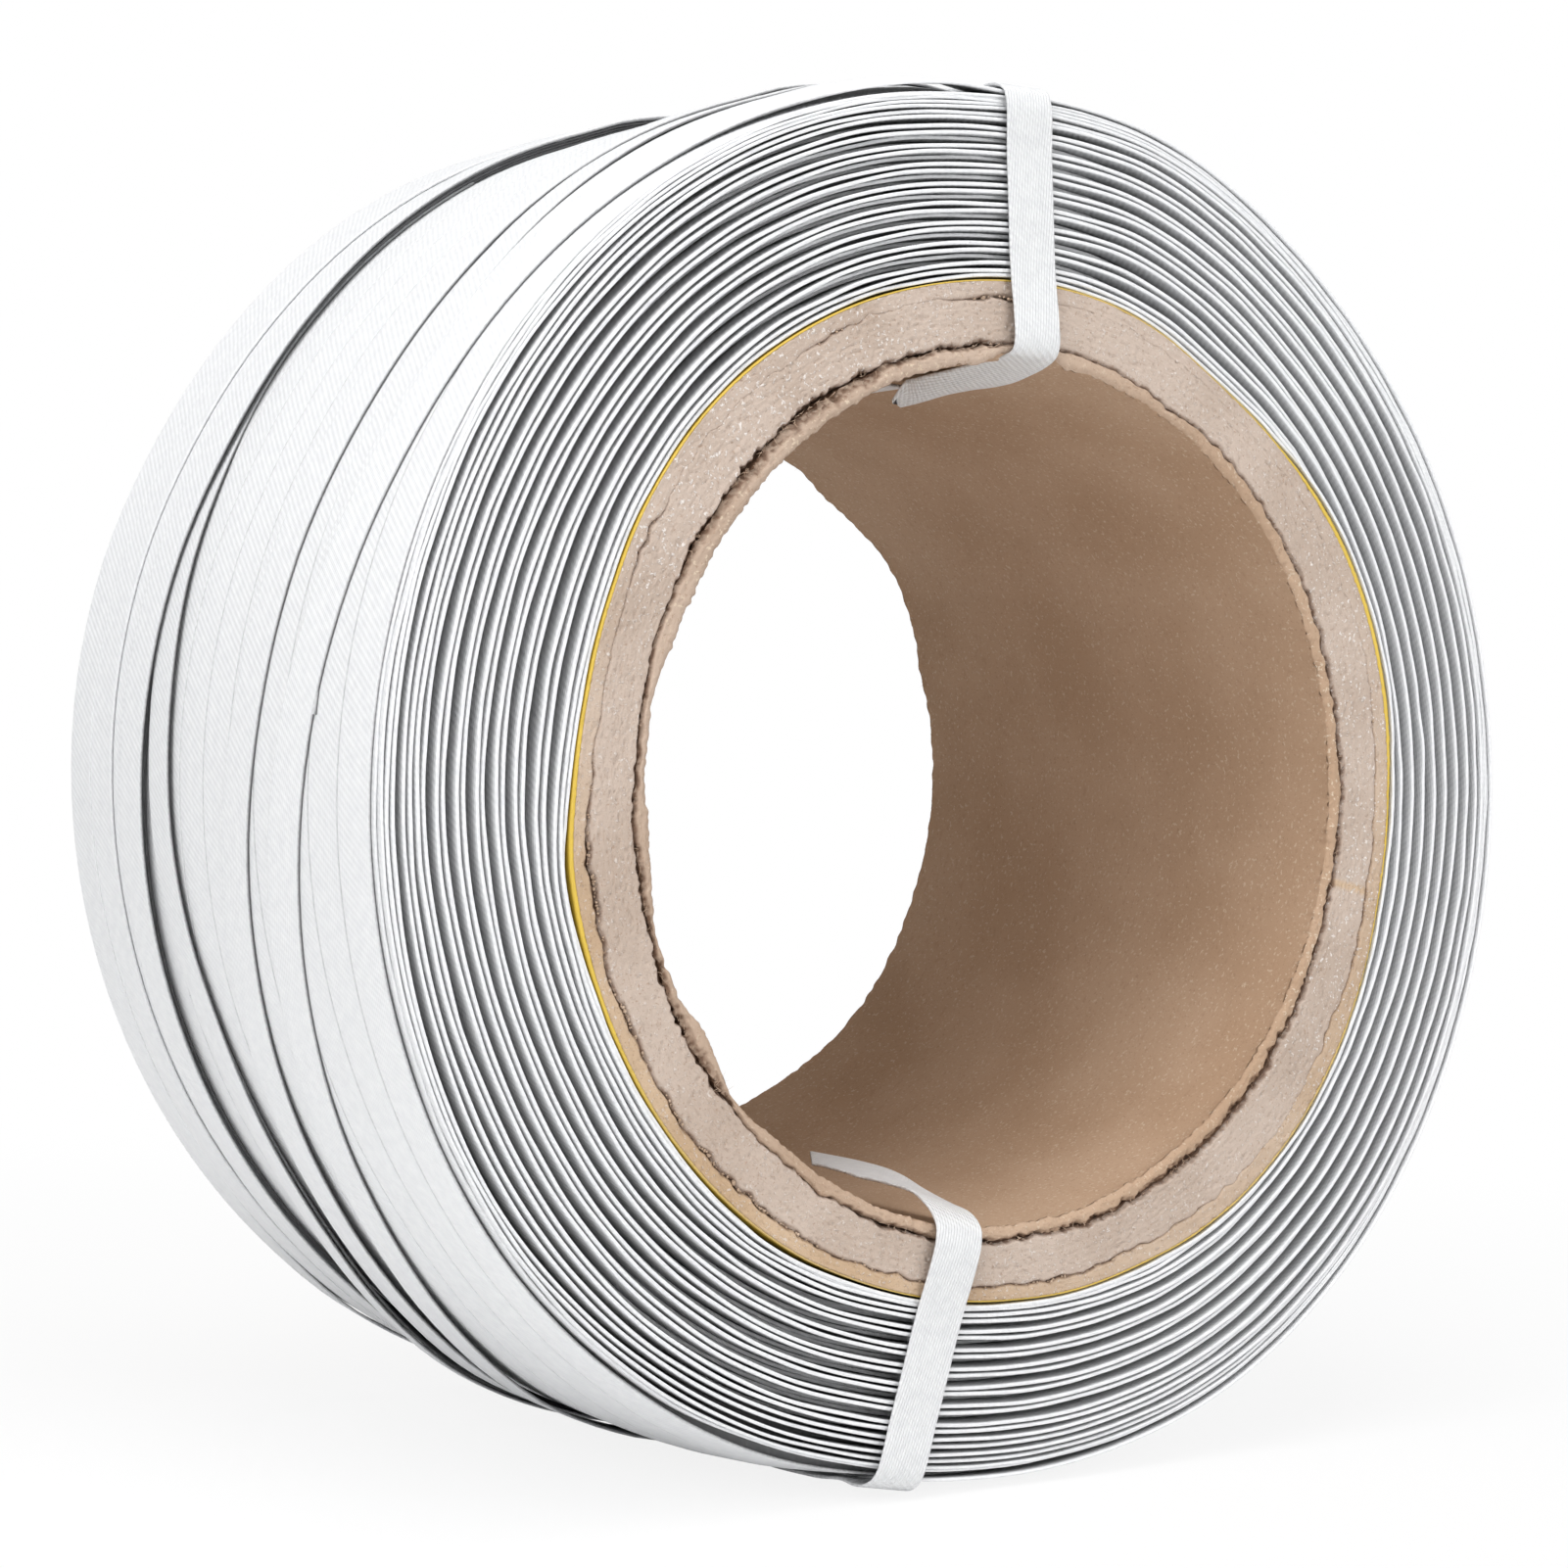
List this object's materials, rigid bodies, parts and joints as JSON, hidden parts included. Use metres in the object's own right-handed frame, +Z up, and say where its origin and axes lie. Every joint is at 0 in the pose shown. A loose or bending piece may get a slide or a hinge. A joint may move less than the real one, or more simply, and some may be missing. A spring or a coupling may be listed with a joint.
{
  "type": "roll of plastic strapping",
  "caption": "Roll of white plastic strapping wound on a cardboard core, with proud and sunken turns on its faces, held by tie straps round the winding.",
  "frame": {"origin": "centre of the core's bore, halfway along it", "axes": "+Y along the bore from the front face to the rear face, +Z up as the roll stands with the top tie above, +X to the right seen from the front"},
  "size_m": [0.3305, 0.163, 0.3325],
  "materials": {
    "kraft_lining": "matte kraft paper with pale fibre flecks",
    "grey_board": "matte fibrous chipboard with fine ply lines",
    "brown_ply": "matte orange-brown kraft board",
    "yellow_film": "thin satin film",
    "strap": "satin white, finely embossed",
    "tie": "satin white, finely embossed"
  },
  "bodies": {
    "root": {"core_lining": "kraft_lining", "core_board": "grey_board", "core_outer_ply": "brown_ply", "core_film": "yellow_film", "strap_pack": "strap", "strap_outer_turns": "strap", "top_tie": "tie", "bottom_tie": "tie"}
  },
  "joints": []
}
